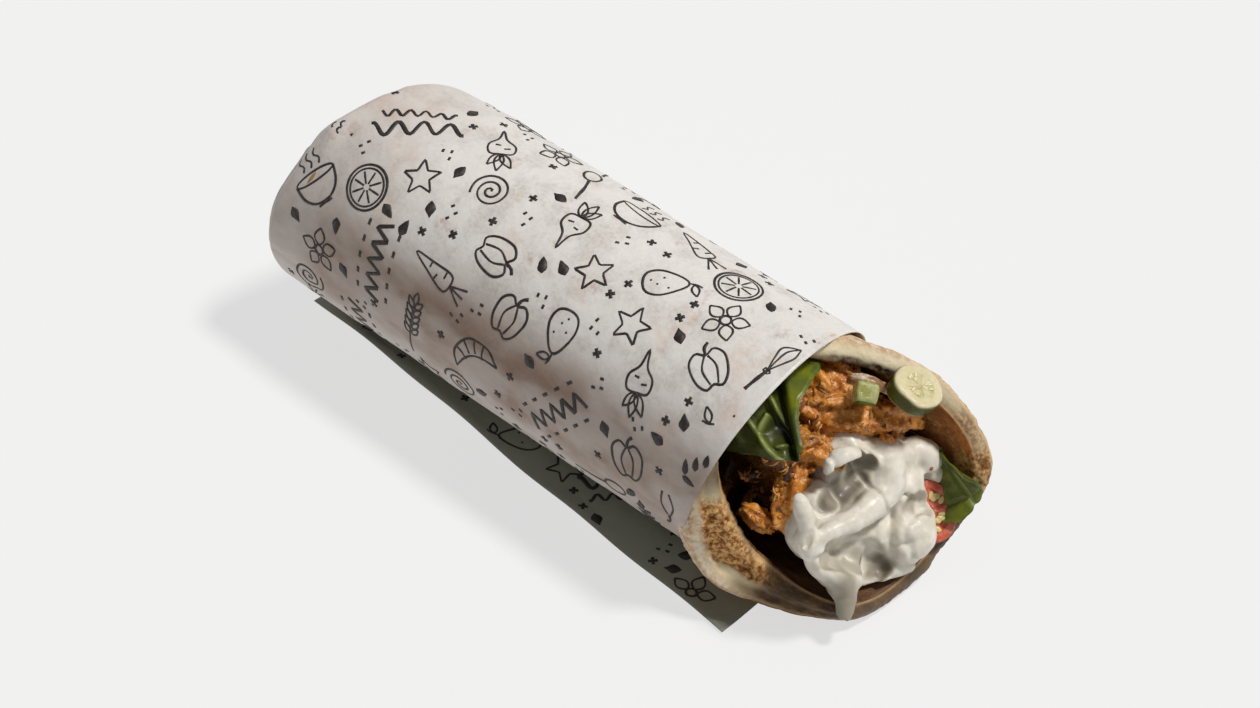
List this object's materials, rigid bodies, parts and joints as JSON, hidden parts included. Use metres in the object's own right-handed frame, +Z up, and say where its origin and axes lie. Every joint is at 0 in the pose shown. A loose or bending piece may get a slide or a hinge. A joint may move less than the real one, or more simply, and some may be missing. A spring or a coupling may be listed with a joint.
{
  "type": "gyro wrap",
  "caption": "Thick flatbread rolled round shredded chicken, lettuce, tomato, cucumber and yoghurt sauce, wrapped in printed paper, lying on its side.",
  "frame": {"origin": "middle of the wrap's footprint, at table height", "axes": "+X along the roll towards its open mouth, +Z up, and the paper's free edge lies on the table on the -Y side"},
  "size_m": [0.1851, 0.0673, 0.0662],
  "materials": {
    "paper": "matte",
    "flatbread": "matte",
    "chicken": "satin",
    "lettuce": "satin",
    "tomato": "gloss",
    "cucumber": "gloss",
    "onion": "satin",
    "yogurt_sauce": "satin"
  },
  "bodies": {
    "root": {"paper": "paper", "flatbread": "flatbread", "chicken_filling": "chicken", "lettuce_left": "lettuce", "lettuce_right": "lettuce", "tomato_slice": "tomato", "cucumber_slice": "cucumber", "cucumber_chunk": "cucumber", "onion_strip": "onion", "yogurt_sauce": "yogurt_sauce"}
  },
  "joints": []
}
